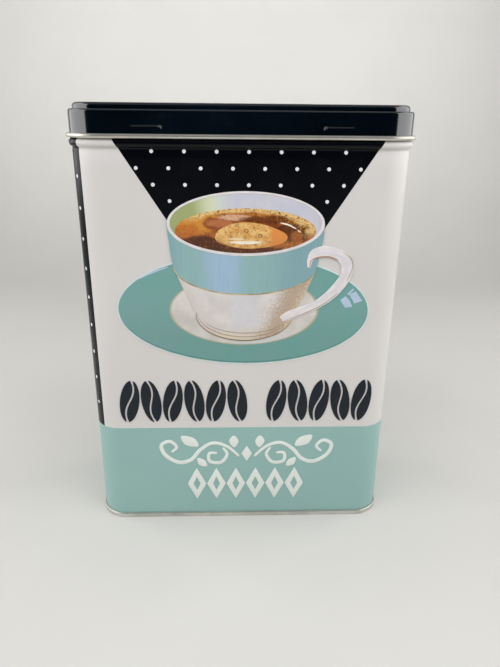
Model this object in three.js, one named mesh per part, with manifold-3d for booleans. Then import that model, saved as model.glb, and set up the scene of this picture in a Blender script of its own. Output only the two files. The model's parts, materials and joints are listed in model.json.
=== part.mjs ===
// Tall rectangular storage tin with a hinged slip-over lid.
//
// Frame: millimetres, +Z up, the tin stands on z = 0 with its middle on the origin. Its front faces -Y,
// and the lid's hinge is at the back, +Y. Every pressed piece is one sheet of tinplate whose section is
// drawn as (offset, z): offset is how far the sheet stands out from the body's plain wall, and the
// section is swept once around the body's rounded rectangle.

import * as THREE from "three";
import { ParametricGeometry } from "three/addons/geometries/ParametricGeometry.js";
import { mergeVertices } from "three/addons/utils/BufferGeometryUtils.js";
import Module from "manifold-3d";

// Driving dimensions
const WIDTH = 187; // body, along X, over the plain wall
const DEPTH = 75; // body, along Y
const CORNER_RADIUS = 16.3;
const HEIGHT = 260; // standing surface to the top of the lid
const SHEET = 0.3; // tinplate with its lacquer
const GAP = 0.3; // between pieces that touch

// Bottom panel and its rim
const RIM_PROUD = 1.25; // rim outside the wall
const RIM_HEIGHT = 3;
const RIM_ROUND = 0.6;
const PANEL_RECESS = 3.7; // underside of the panel above the standing surface
const FLANGE_REACH = 0.65; // the body's bottom flange inside the rim
const FLANGE_TOP = 1.5;

// Body bead, the groove below it, and the neck inside the lid
const BEAD_PROUD = 1.5;
const BEAD_RADIUS = 2.4;
const BEAD_Z = 239.9;
const GROOVE_RADIUS = 2;
const GROOVE_DEPTH = 0.2;
const GROOVE_Z = 236.7;
const NECK_OFFSET = -0.9;
const NECK_FOOT_Z = 242.7;
const HEM_RADIUS = 1.2; // inward roll at the mouth
const HEM_Z = 254.8;

// Lid
const SKIRT_OFFSET = 0.75;
const SKIRT_TOP = 256.8;
const SKIRT_ROUND = 1.4;
const PLATEAU_OFFSET = -1.8;
const PLATEAU_ROUND = 2;
const CURL_RADIUS = 1.2;
const CURL_Z = 243.5;
const RIB_X = 51; // two snap ribs pressed into the front of the skirt
const RIB_Z = 247.8;
const RIB_SIZE = [8.6, 0.5, 1.4]; // half length, depth and half height

// Side seam: a folded lock seam down the inside of the back wall
const SEAM_X = 60;
const SEAM_WIDTH = 5;
const SEAM_PROUD = 0.6;
const SEAM_RUN = [4.6, 234];

// Two hinges: a tongue lanced out of the neck holds a wire that runs inside the lid's curl
const HINGE_X = 52;
const TONGUE_WIDTH = 12;
const TONGUE_END = 140; // degrees round the wire
const WINDOW_TOP = 250.4; // the opening that the tongue leaves in the neck
const NOTCH_CLEAR = 0.5; // lid notch beside the tongue
const NOTCH_TOP = 246.2;
const WIRE_RADIUS = 0.6;
const WIRE_LENGTH = 40;

const CORNER_STEPS = 7;
const WIRE_SIDES = 14;
const PLATE_LAP = 3; // how far the flat middle of a panel laps the swept ring
const RING_REACH = -10; // where the swept ring of a panel ends

const FINISHES = {
  printed: { color: 0xd9d5cf, roughness: 0.38, metalness: 0.1 },
  black: { color: 0x0c1019, roughness: 0.3, metalness: 0.1 },
  bare: { color: 0xa9ada6, roughness: 0.32, metalness: 0.9 },
};

const wasm = await Module();
wasm.setup();

const degrees = THREE.MathUtils.degToRad;

/** A closed three.js geometry as a solid that can be joined and cut. */
function solid(geometry) {
  const bare = geometry.clone();
  bare.deleteAttribute("normal");
  bare.deleteAttribute("uv");
  const merged = mergeVertices(bare, 1e-5);
  const mesh = new wasm.Mesh({
    numProp: 3,
    vertProperties: new Float32Array(merged.attributes.position.array),
    triVerts: new Uint32Array(merged.index.array),
  });
  return new wasm.Manifold(mesh);
}

function geometryOf(shape) {
  const { vertProperties, triVerts } = shape.getMesh();
  const geometry = new THREE.BufferGeometry();
  geometry.setAttribute("position", new THREE.BufferAttribute(vertProperties, 3));
  geometry.setIndex(new THREE.BufferAttribute(triVerts, 1));
  geometry.computeVertexNormals();
  return geometry;
}

/** The body's rounded rectangle, as corner centres with outward directions, anticlockwise from above. */
function outline() {
  const stations = [];
  for (let corner = 0; corner < 4; corner++) {
    for (let step = 0; step <= CORNER_STEPS; step++) {
      const angle = (corner + step / CORNER_STEPS) * (Math.PI / 2);
      const right = corner === 0 || corner === 3;
      const back = corner < 2;
      stations.push({
        x: (WIDTH / 2 - CORNER_RADIUS) * (right ? 1 : -1),
        y: (DEPTH / 2 - CORNER_RADIUS) * (back ? 1 : -1),
        out: new THREE.Vector2(Math.cos(angle), Math.sin(angle)),
      });
    }
  }
  return stations;
}

/** Gives a section's line the sheet's thickness, to the right of the way it runs. */
function sheetSection(path, divisions) {
  const line = path.getPoints(divisions);
  const far = line.map((point, i) => {
    const before = line[Math.max(i - 1, 0)];
    const after = line[Math.min(i + 1, line.length - 1)];
    const into = point.clone().sub(before).normalize();
    const out = after.clone().sub(point).normalize();
    const along = into.clone().add(out).normalize();
    const half = Math.max(along.dot(into), along.dot(out));
    return new THREE.Vector2(point.x + (along.y * SHEET) / half, point.y - (along.x * SHEET) / half);
  });
  return [...line, ...far.reverse()];
}

/** Sweeps a closed section once around the body's outline. */
function sweep(section) {
  const stations = outline();
  const place = (u, v, target) => {
    const point = section[Math.round(u * section.length) % section.length];
    const at = stations[Math.round(v * stations.length) % stations.length];
    const reach = CORNER_RADIUS + point.x;
    target.set(at.x + at.out.x * reach, at.y + at.out.y * reach, point.y);
  };
  return solid(new ParametricGeometry(place, section.length, stations.length));
}

/** A flat plate in the body's outline, its edge at the given offset and its underside at z. */
function plate(offset, z) {
  const halfX = WIDTH / 2 - CORNER_RADIUS;
  const halfY = DEPTH / 2 - CORNER_RADIUS;
  const radius = CORNER_RADIUS + offset;
  const shape = new THREE.Shape();
  shape.absarc(halfX, halfY, radius, 0, Math.PI / 2);
  shape.absarc(-halfX, halfY, radius, Math.PI / 2, Math.PI);
  shape.absarc(-halfX, -halfY, radius, Math.PI, 1.5 * Math.PI);
  shape.absarc(halfX, -halfY, radius, 1.5 * Math.PI, 2 * Math.PI);
  const geometry = new THREE.ExtrudeGeometry(shape, {
    depth: SHEET,
    bevelEnabled: false,
    curveSegments: CORNER_STEPS,
  });
  return solid(geometry.translate(0, 0, z));
}

function block(low, high) {
  const size = high.map((value, i) => value - low[i]);
  const middle = high.map((value, i) => (value + low[i]) / 2);
  return solid(new THREE.BoxGeometry(...size).translate(...middle));
}

/** The shell of the tin: hem, neck, bead, wall and bottom flange, with its seam and hinge tongues. */
function bodyShell() {
  const path = new THREE.Path();
  const hemX = NECK_OFFSET - HEM_RADIUS;
  path.absarc(hemX, HEM_Z, HEM_RADIUS, degrees(290), degrees(135), true);
  path.absarc(hemX, HEM_Z, HEM_RADIUS, degrees(135), 0, true);
  path.lineTo(NECK_OFFSET, NECK_FOOT_Z);
  const beadAngle = Math.acos((BEAD_RADIUS - BEAD_PROUD) / BEAD_RADIUS);
  path.absarc(BEAD_PROUD - BEAD_RADIUS, BEAD_Z, BEAD_RADIUS, beadAngle, -beadAngle, true);
  const grooveAngle = Math.acos((GROOVE_RADIUS - GROOVE_DEPTH) / GROOVE_RADIUS);
  const grooveX = GROOVE_RADIUS - GROOVE_DEPTH;
  path.absarc(grooveX, GROOVE_Z, GROOVE_RADIUS, Math.PI - grooveAngle, Math.PI + grooveAngle, false);
  path.lineTo(0, FLANGE_TOP);
  path.lineTo(FLANGE_REACH, FLANGE_TOP);
  let shell = sweep(sheetSection(path, 3));

  const back = DEPTH / 2;
  const seamLow = [SEAM_X - SEAM_WIDTH / 2, back - SHEET - SEAM_PROUD, SEAM_RUN[0]];
  shell = shell.add(block(seamLow, [SEAM_X + SEAM_WIDTH / 2, back - SHEET / 2, SEAM_RUN[1]]));
  for (const x of [-HINGE_X, HINGE_X]) {
    const low = [x - TONGUE_WIDTH / 2, back + NECK_OFFSET - 1, CURL_Z - CURL_RADIUS + SHEET];
    shell = shell.subtract(block(low, [x + TONGUE_WIDTH / 2, back - 0.2, WINDOW_TOP]));
    shell = shell.add(hingeTongue(x));
  }
  return shell;
}

/** One tongue: out of the neck under the lid's skirt, then up and round the wire. */
function hingeTongue(x) {
  const centre = curlCentre();
  const inner = CURL_RADIUS - SHEET;
  const shape = new THREE.Shape();
  shape.moveTo(NECK_OFFSET - SHEET, CURL_Z - CURL_RADIUS);
  shape.absarc(centre.x, centre.y, CURL_RADIUS, degrees(-90), degrees(TONGUE_END), false);
  shape.absarc(centre.x, centre.y, inner, degrees(TONGUE_END), degrees(-90), true);
  shape.lineTo(NECK_OFFSET - SHEET, CURL_Z - inner);
  const strip = new THREE.ExtrudeGeometry(shape, {
    depth: TONGUE_WIDTH,
    bevelEnabled: false,
    curveSegments: 12,
  });
  // The section is drawn in X and Y: turn it to stand in Y and Z, with the strip's width along X.
  const turn = new THREE.Matrix4().makeBasis(
    new THREE.Vector3(0, 1, 0),
    new THREE.Vector3(0, 0, 1),
    new THREE.Vector3(1, 0, 0),
  );
  strip.applyMatrix4(turn).translate(x - TONGUE_WIDTH / 2, DEPTH / 2, 0);
  return solid(strip);
}

/** The middle of the lid's curl, which is also the hinge's axis at the back. */
function curlCentre() {
  return new THREE.Vector2(SKIRT_OFFSET - SHEET + CURL_RADIUS, CURL_Z);
}

/** The rounded body of a snap rib, lying along X and grown on every side. */
function rib(x, y, grow) {
  const [halfLength, depth, halfHeight] = RIB_SIZE.map((size) => size + grow);
  const geometry = new THREE.CapsuleGeometry(halfHeight, 2 * (halfLength - halfHeight), 4, 12);
  geometry.rotateZ(Math.PI / 2).scale(1, depth / halfHeight, 1);
  return solid(geometry.translate(x, y, RIB_Z));
}

/** The lid: outward curl, skirt, shoulder and raised plateau, with snap ribs and hinge notches. */
function lidShell() {
  const centre = curlCentre();
  const inside = SKIRT_OFFSET - SHEET;
  const skirtRound = SKIRT_ROUND - SHEET;
  const plateauRound = PLATEAU_ROUND - SHEET;
  const under = PLATEAU_OFFSET - SHEET;
  const path = new THREE.Path();
  path.absarc(centre.x, centre.y, CURL_RADIUS, degrees(120), degrees(-30), true);
  path.absarc(centre.x, centre.y, CURL_RADIUS, degrees(-30), degrees(-180), true);
  path.absarc(inside - skirtRound, SKIRT_TOP - SKIRT_ROUND, skirtRound, 0, Math.PI / 2, false);
  path.lineTo(under, SKIRT_TOP - SHEET);
  path.absarc(under - plateauRound, HEIGHT - PLATEAU_ROUND, plateauRound, 0, Math.PI / 2, false);
  path.lineTo(RING_REACH, HEIGHT - SHEET);
  let lid = sweep(sheetSection(path, 3));
  lid = lid.add(plate(RING_REACH + PLATE_LAP, HEIGHT - SHEET));

  const front = -DEPTH / 2 - SKIRT_OFFSET;
  for (const x of [-RIB_X, RIB_X]) {
    const inward = block([x - 12, front + SHEET / 2, RIB_Z - 5], [x + 12, front + 5, RIB_Z + 5]);
    lid = lid.add(rib(x, front, SHEET).intersect(inward)).subtract(rib(x, front, 0));
  }
  for (const x of [-HINGE_X, HINGE_X]) {
    const half = TONGUE_WIDTH / 2 + NOTCH_CLEAR;
    const low = [x - half, DEPTH / 2 - 0.5, CURL_Z - 2 * CURL_RADIUS];
    lid = lid.subtract(block(low, [x + half, DEPTH / 2 + 5, NOTCH_TOP]));
  }
  return lid;
}

/** The bottom: a rim hooked over the body's flange, a countersunk wall and the panel. */
function bottomPanel() {
  const inner = -2 * SHEET - GAP;
  const path = new THREE.Path();
  path.moveTo(SHEET + 0.05, RIM_HEIGHT);
  path.absarc(RIM_PROUD - RIM_ROUND, RIM_HEIGHT - RIM_ROUND, RIM_ROUND, Math.PI / 2, 0, true);
  path.absarc(RIM_PROUD - RIM_ROUND, RIM_ROUND, RIM_ROUND, 0, -Math.PI / 2, true);
  path.absarc(inner + RIM_ROUND, RIM_ROUND, RIM_ROUND, -Math.PI / 2, -Math.PI, true);
  path.lineTo(inner, PANEL_RECESS);
  path.lineTo(RING_REACH, PANEL_RECESS);
  return sweep(sheetSection(path, 2)).add(plate(RING_REACH + PLATE_LAP, PANEL_RECESS));
}

/** A length of wire inside the lid's curl, through one tongue. */
function hingeWire() {
  const geometry = new THREE.CylinderGeometry(WIRE_RADIUS, WIRE_RADIUS, WIRE_LENGTH, WIRE_SIDES);
  return solid(geometry.rotateZ(Math.PI / 2));
}

function piece(name, shape, finish) {
  const mesh = new THREE.Mesh(geometryOf(shape), new THREE.MeshStandardMaterial(FINISHES[finish]));
  mesh.name = name;
  return mesh;
}

const tin = new THREE.Group();
tin.add(piece("body_shell", bodyShell(), "printed"));
tin.add(piece("bottom_panel", bottomPanel(), "bare"));

const lidGroup = new THREE.Group();
lidGroup.add(piece("lid", lidShell(), "black"));
for (const [side, x] of [["left", -HINGE_X], ["right", HINGE_X]]) {
  const wire = piece(`hinge_pin_${side}`, hingeWire(), "bare");
  wire.position.set(x, DEPTH / 2 + curlCentre().x, curlCentre().y);
  lidGroup.add(wire);
}
tin.add(lidGroup);

export default tin;
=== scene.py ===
"""Tall rectangular storage tin with a hinged lid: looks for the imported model.

Every sheet is drawn in the tin's own coordinates: s runs round the plain wall in millimetres from the
middle of the front towards +X, z is the height, and offset is how far a point stands out from the
plain wall. place() turns these into metres in the frame.
"""

import json
import math

import bmesh
import bpy
from mathutils import Matrix, Vector


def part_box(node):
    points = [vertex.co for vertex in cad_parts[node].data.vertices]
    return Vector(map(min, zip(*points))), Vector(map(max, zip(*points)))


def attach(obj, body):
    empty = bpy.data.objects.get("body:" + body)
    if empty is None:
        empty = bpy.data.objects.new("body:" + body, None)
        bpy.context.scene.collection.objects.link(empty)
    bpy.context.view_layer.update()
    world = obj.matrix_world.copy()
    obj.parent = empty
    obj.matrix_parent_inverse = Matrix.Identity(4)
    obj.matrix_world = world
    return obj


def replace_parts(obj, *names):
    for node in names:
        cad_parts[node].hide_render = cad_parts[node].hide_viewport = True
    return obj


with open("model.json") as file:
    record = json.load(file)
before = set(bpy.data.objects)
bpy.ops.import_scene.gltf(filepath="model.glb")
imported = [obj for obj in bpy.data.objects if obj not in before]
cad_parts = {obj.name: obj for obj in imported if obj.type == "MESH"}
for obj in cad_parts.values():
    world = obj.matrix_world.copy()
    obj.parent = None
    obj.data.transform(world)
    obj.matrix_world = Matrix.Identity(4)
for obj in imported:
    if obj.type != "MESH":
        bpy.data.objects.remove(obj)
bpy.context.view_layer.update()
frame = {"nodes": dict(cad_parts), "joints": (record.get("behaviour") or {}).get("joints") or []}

MM = 0.001

# ---------------------------------------------------------------- sizes, in millimetres


def box_mm(node):
    """The low and high corners of a node of the frame."""
    low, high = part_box(node)
    return [value / MM for value in low], [value / MM for value in high]


# Width, depth, height and the hinge's height come from the frame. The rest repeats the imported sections,
# apart from the ribs, which are shallower here, and their dents, which are only here.
RIM_PROUD = 1.25
SHEET = 0.3
RIM_LOW, RIM_HIGH = box_mm("bottom_panel")
WIDTH = RIM_HIGH[0] - RIM_LOW[0] - 2 * RIM_PROUD
DEPTH = RIM_HIGH[1] - RIM_LOW[1] - 2 * RIM_PROUD
HEIGHT = box_mm("lid")[1][2]
RADIUS = 16.3
HALF_X = WIDTH / 2 - RADIUS
HALF_Y = DEPTH / 2 - RADIUS
CORNER = RADIUS * math.pi / 2
PERIMETER = 4 * (HALF_X + HALF_Y + CORNER)

CURL_Z = frame["joints"][0]["pos_m"][2] / MM
CURL_RADIUS = 1.2
SKIRT_OFFSET = 0.75
CURL_X = SKIRT_OFFSET - SHEET + CURL_RADIUS
SKIRT_TOP, SKIRT_ROUND = 256.8, 1.4
PLATEAU_OFFSET, PLATEAU_ROUND = -1.8, 2.0
NECK_OFFSET = -0.9
NECK_FOOT_Z = 242.7
HEM_RADIUS = 1.2
HEM_Z = 254.8
BEAD_Z, BEAD_RADIUS, BEAD_PROUD = 239.9, 2.4, 1.5
GROOVE_Z, GROOVE_RADIUS, GROOVE_DEPTH = 236.7, 2.0, 0.2
FLANGE_TOP, FLANGE_REACH = 1.5, 0.65
PANEL_RECESS = 3.7
RIB_X, RIB_Z, RIB_LENGTH, RIB_HEIGHT, RIB_DEPTH = 51.0, 247.8, 17.2, 2.8, 0.085
PIP_X, PIP_RADIUS, PIP_DEPTH = 43.4, 1.2, 0.4  # a small dent at the inner end of each rib
RIB_PITCH = 0.31  # between the columns that draw the ribs and their dents
RIM_HEIGHT, RIM_ROUND, RECESS_ROUND = 3.0, 0.6, 0.7
SEAM_X, SEAM_FROM, SEAM_TO = 60.0, 4.6, 234.0
HINGE_X, TONGUE_WIDTH = 52.0, 12.0
WINDOW_TOP, NOTCH_TOP, NOTCH_CLEAR = 250.4, 246.2, 0.5
FLAT_FROM = -10.0  # further in than this, a panel's rows close on its middle line

# The print
PRINT_FOOT, PRINT_TOP = 1.7, 242.5
TEAL_TOP = 68.1
WHITE_FROM, WHITE_TO = -88.1, 99.5  # the front's white field, wrapped a little to the right
INK = 0.04
FACES = {"front": 0.0, "back": PERIMETER / 2}  # s at the middle of each broad side
PITCH = 17.3  # between polka dots in a row; rows are half of it apart
DOT_RADIUS, DOT_HEIGHT = 1.02, 0.17

# ---------------------------------------------------------------- shape of the sheet


def around(s):
    """Point on the plain wall at s, and its outward normal."""
    s = (s + HALF_X) % PERIMETER
    centres = [(-HALF_X, -HALF_Y), (HALF_X, -HALF_Y), (HALF_X, HALF_Y), (-HALF_X, HALF_Y)]
    for side in range(4):
        run = 2 * (HALF_Y if side % 2 else HALF_X)
        turn = side * math.pi / 2
        if s <= run:
            start = centres[side]
            along = (math.cos(turn) * s, math.sin(turn) * s)
            normal = (math.sin(turn), -math.cos(turn))
            centre = (start[0] + along[0], start[1] + along[1])
            break
        s -= run
        if s <= CORNER:
            angle = turn + s / RADIUS
            normal = (math.sin(angle), -math.cos(angle))
            centre = centres[(side + 1) % 4]
            break
        s -= CORNER
    return (centre[0] + normal[0] * RADIUS, centre[1] + normal[1] * RADIUS), normal


def place(s, offset, z):
    """A point of the tin in metres. Rows further in than FLAT_FROM close on the panel's middle line."""
    (x, y), normal = around(s)
    reach = max(offset, FLAT_FROM)
    x, y = x + normal[0] * reach, y + normal[1] * reach
    if offset < FLAT_FROM:
        share = (offset - FLAT_FROM) / (-DEPTH / 2 - FLAT_FROM)
        middle = WIDTH / 2 - DEPTH / 2
        x += (max(-middle, min(middle, x)) - x) * share
        y -= y * share
    return Vector((x, y, z)) * MM


def stations(pitch=6.0, corner_steps=20, also=()):
    """Places of s round the whole tin, closer at the corners, with some extra ones."""
    found = []
    start = -HALF_X
    for side in range(4):
        run = 2 * (HALF_Y if side % 2 else HALF_X)
        steps = round(run / pitch)
        found += [start + run * i / steps for i in range(steps)]
        start += run
        found += [start + CORNER * i / corner_steps for i in range(corner_steps)]
        start += CORNER
    extra = [(s + HALF_X) % PERIMETER - HALF_X for s in also]
    found = [s for s in found if all(abs(s - e) > 0.3 for e in extra)]
    return sorted(found + extra)


def arc(x, z, radius, start, end, steps):
    turns = [math.radians(start + (end - start) * i / steps) for i in range(steps + 1)]
    return [(x + radius * math.cos(a), z + radius * math.sin(a)) for a in turns]


def wall_line(low, high, pitch=8.0):
    """The wall's outer face from low to high: plain, groove, bead and the foot of the neck."""
    groove = math.degrees(math.acos((GROOVE_RADIUS - GROOVE_DEPTH) / GROOVE_RADIUS))
    bead = math.degrees(math.acos((BEAD_RADIUS - BEAD_PROUD) / BEAD_RADIUS))
    line = arc(GROOVE_RADIUS - GROOVE_DEPTH, GROOVE_Z, GROOVE_RADIUS, 180 + groove, 180 - groove, 8)
    line += arc(BEAD_PROUD - BEAD_RADIUS, BEAD_Z, BEAD_RADIUS, -bead, bead, 14)
    line.append((NECK_OFFSET, NECK_FOOT_Z))
    plain_top = line[0][1]
    if low >= plain_top:
        return line
    steps = max(1, round((min(high, plain_top) - low) / pitch))
    plain = [(0.0, low + (min(high, plain_top) - low) * i / steps) for i in range(steps + 1)]
    if high <= plain_top:
        return plain
    return plain[:-1] + [p for p in line if p[1] <= high]


def far_side(line, thickness):
    """The line moved by the thickness to the right of the way it runs."""
    found = []
    for i, point in enumerate(line):
        here = Vector(point)
        into = here - Vector(line[i - 1]) if i else None
        out = Vector(line[i + 1]) - here if i + 1 < len(line) else into
        into = (into or out).normalized()
        out = out.normalized()
        along = (into + out).normalized()
        reach = thickness / max(along.dot(into), 0.3)
        found.append((here.x + along.y * reach, here.y - along.x * reach))
    return found


# ---------------------------------------------------------------- meshes


def build(name, points, art, faces, slots, body, finishes, limit=38.0):
    """A mesh piece from points in metres. art holds each point's (s, z) for its finish to read.

    Edges sharper than the limit, in degrees, stay sharp.
    """
    mesh = bpy.data.meshes.new(name)
    mesh.from_pydata(points, [], faces)
    layer = mesh.attributes.new("art", "FLOAT_VECTOR", "POINT")
    layer.data.foreach_set("vector", [value for s, z in art for value in (s, z, 0.0)])
    mesh.polygons.foreach_set("material_index", slots)
    for finish in finishes:
        mesh.materials.append(finish.material)
    work = bmesh.new()
    work.from_mesh(mesh)
    bmesh.ops.remove_doubles(work, verts=work.verts, dist=2e-6)
    bmesh.ops.dissolve_degenerate(work, edges=work.edges, dist=1e-7)
    bmesh.ops.recalc_face_normals(work, faces=work.faces)
    for face in work.faces:
        face.smooth = True
    for edge in work.edges:
        edge.smooth = edge.calc_face_angle(math.pi) < math.radians(limit)
    open_edges = sum(1 for edge in work.edges if not edge.is_manifold)
    if open_edges:
        print("OPEN", name, open_edges)
    work.to_mesh(mesh)
    work.free()
    piece = bpy.data.objects.new(name, mesh)
    bpy.context.scene.collection.objects.link(piece)
    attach(piece, body)
    return piece


def sheet(name, columns, line, thickness, body, finish, keep=None, ring=True, panel=False, press=None):
    """A closed sheet. Its first side follows line, a list of (offset, z), across the columns of s.

    columns is one list of s for every row, or a list of rows. finish is one for the whole sheet, or one
    each for its first side, its far side and its cut edges. keep(i, j) says which cells are there, so that
    windows and notches get real edges. A panel's last row closes on its middle line. press(s, z) says how
    far the sheet is pushed in.
    """
    rows = columns if isinstance(columns[0], list) else [columns] * len(line)
    across = len(rows[0])
    far = far_side(line, thickness)
    points, art = [], []
    for side in (line, far):
        for row, (offset, z) in zip(rows, side):
            points += [place(s, offset - (press(s, z) if press else 0.0), z) for s in row]
            art += [(s, z) for s in row]
    layer = len(line) * across
    cells_across = across if ring else across - 1
    kept = {
        (i, j)
        for i in range(len(line) - 1)
        for j in range(cells_across)
        if keep is None or keep(i, j)
    }
    faces, slots = [], []

    def corner(i, j, side):
        return side * layer + i * across + j % across

    for i, j in sorted(kept):
        quad = [(i, j), (i, j + 1), (i + 1, j + 1), (i + 1, j)]
        faces.append([corner(a, b, 0) for a, b in quad])
        faces.append([corner(a, b, 1) for a, b in reversed(quad)])
        slots += [0, 1]
        steps = [(i - 1, j), (i, j + 1), (i + 1, j), (i, j - 1)]
        for k, (a, b) in enumerate(steps):
            beside = (a, b % cells_across if ring else b)
            closed_middle = panel and a == len(line) - 1
            if beside not in kept and not closed_middle:
                one, two = quad[k], quad[(k + 1) % 4]
                faces.append([corner(*one, 0), corner(*two, 0), corner(*two, 1), corner(*one, 1)])
                slots.append(2)
    finishes = finish if isinstance(finish, tuple) else 3 * (finish,)
    return build(name, points, art, faces, slots, body, finishes)


def inside(point, loop):
    """Whether a point lies within a closed loop."""
    x, z = point
    found = False
    for (ax, az), (bx, bz) in zip(loop, loop[1:] + loop[:1]):
        if (az > z) != (bz > z) and x < ax + (bx - ax) * (z - az) / (bz - az):
            found = not found
    return found


def turned(loops):
    """The loops with outlines anticlockwise and holes clockwise, so that bevels shrink them all."""
    for loop in loops:
        area = sum(ax * bz - bx * az for (ax, az), (bx, bz) in zip(loop, loop[1:] + loop[:1]))
        hole = sum(inside(loop[0], other) for other in loops if other is not loop) % 2 == 1
        yield loop[::-1] if (area > 0) == hole else loop


def relief(name, loops, base, top, edge, face, finish):
    """A shape raised on a broad side: closed loops of (x, z), from base to top above the wall."""
    curve = bpy.data.curves.new(name, "CURVE")
    curve.dimensions = "2D"
    curve.fill_mode = "BOTH"
    curve.extrude = (top - base) / 2 - edge
    curve.bevel_depth = edge
    curve.bevel_resolution = 2
    curve.offset = -edge
    for loop in turned(loops):
        spline = curve.splines.new("POLY")
        spline.points.add(len(loop) - 1)
        spline.points.foreach_set("co", [v for x, z in loop for v in (x, z, 0.0, 1.0)])
        spline.use_cyclic_u = True
    drawn = bpy.data.objects.new(name, curve)
    bpy.context.scene.collection.objects.link(drawn)
    shape = bpy.data.meshes.new_from_object(drawn.evaluated_get(bpy.context.evaluated_depsgraph_get()))
    bpy.data.objects.remove(drawn)
    bpy.data.curves.remove(curve)
    middle = (top + base) / 2
    points = [place(FACES[face] + v.co.x, middle + v.co.z, v.co.y) for v in shape.vertices]
    art = [(v.co.x, v.co.y) for v in shape.vertices]
    faces = [list(p.vertices) for p in shape.polygons]
    bpy.data.meshes.remove(shape)
    return build(name, points, art, faces, [0] * len(faces), "tin", [finish], limit=50.0)


def dots(name, centres, finish):
    """Round spots of ink, each a low closed dome that follows the wall."""
    sides = 20
    rings = ((1.0, -0.02), (1.0, DOT_HEIGHT * 0.7), (0.85, DOT_HEIGHT), (0.45, DOT_HEIGHT))
    points, art, faces = [], [], []
    for s, z in centres:
        first = len(points)
        for ring, rise in rings:
            for k in range(sides):
                turn = 2 * math.pi * k / sides
                ds = math.cos(turn) * DOT_RADIUS * ring
                dz = math.sin(turn) * DOT_RADIUS * ring
                points.append(place(s + ds, wall_offset(z + dz) + rise, z + dz))
                art.append((s + ds, z + dz))
        for ring in range(len(rings) - 1):
            low = first + ring * sides
            for k in range(sides):
                after = (k + 1) % sides
                faces.append([low + k, low + after, low + sides + after, low + sides + k])
        faces.append([first + k for k in reversed(range(sides))])
        faces.append([first + (len(rings) - 1) * sides + k for k in range(sides)])
    return build(name, points, art, faces, [0] * len(faces), "tin", [finish], limit=60.0)


def wall_offset(z):
    """How far the wall's outer face stands out at a height."""
    if abs(z - BEAD_Z) < BEAD_RADIUS:
        bulge = BEAD_PROUD - BEAD_RADIUS + math.sqrt(BEAD_RADIUS**2 - (z - BEAD_Z) ** 2)
        if bulge > 0:
            return bulge
    if abs(z - GROOVE_Z) < GROOVE_RADIUS:
        dip = GROOVE_RADIUS - GROOVE_DEPTH - math.sqrt(GROOVE_RADIUS**2 - (z - GROOVE_Z) ** 2)
        return min(dip, 0.0)
    return 0.0


# ---------------------------------------------------------------- drawing


def moved(points, x, z, tilt):
    """The points turned by the tilt in degrees about (0, 0), and then moved to (x, z)."""
    lean = math.radians(tilt)
    right, up = math.cos(lean), math.sin(lean)
    return [(x + u * right - v * up, z + u * up + v * right) for u, v in points]


def ellipse(x, z, rx, rz, start=0.0, end=360.0, steps=96, tilt=0.0):
    turns = [math.radians(start + (end - start) * i / steps) for i in range(steps)]
    return moved([(rx * math.cos(a), rz * math.sin(a)) for a in turns], x, z, tilt)


def smooth(points, steps=8, closed=False):
    """A Catmull-Rom curve through the points."""
    count = len(points)
    found = []
    for i in range(count if closed else count - 1):
        if closed:
            p = [Vector(points[(i + k) % count]) for k in (-1, 0, 1, 2)]
        else:
            p = [Vector(points[min(max(i + k, 0), count - 1)]) for k in (-1, 0, 1, 2)]
        for step in range(steps):
            t = step / steps
            value = 2 * p[1] + (p[2] - p[0]) * t
            value += (2 * p[0] - 5 * p[1] + 4 * p[2] - p[3]) * t * t
            value += (3 * p[1] - p[0] - 3 * p[2] + p[3]) * t * t * t
            found.append(tuple(value / 2))
    return found if closed else found + [tuple(points[-1])]


def along_both_sides(line, widths):
    """The outline of a line of (x, z) that has a width at each point."""
    left, right = [], []
    for i, width in enumerate(widths):
        here = Vector(line[i])
        along = Vector(line[min(i + 1, len(line) - 1)]) - Vector(line[max(i - 1, 0)])
        side = Vector((-along.y, along.x)).normalized() * width / 2
        left.append(tuple(here + side))
        right.append(tuple(here - side))
    return left + right[::-1]


def stroke(points, width, taper):
    """The outline of a pen stroke along a line, narrowed towards both ends by the taper."""
    shares = [i / (len(points) - 1) for i in range(len(points))]
    widths = [width * (1 - taper + taper * math.sin(math.pi * share) ** 0.6) for share in shares]
    return along_both_sides(points, widths)


def strap(points):
    """The outline of a strap along a smooth line through points of (x, z, width)."""
    found = smooth(points, 6)
    return along_both_sides([p[:2] for p in found], [p[2] for p in found])


# ---------------------------------------------------------------- finishes


def linear(r, g, b):
    """An sRGB colour of 0 to 255 as the linear one that shaders take."""
    values = [c / 255 for c in (r, g, b)]
    return (*[c / 12.92 if c <= 0.04045 else ((c + 0.055) / 1.055) ** 2.4 for c in values], 1.0)


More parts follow.
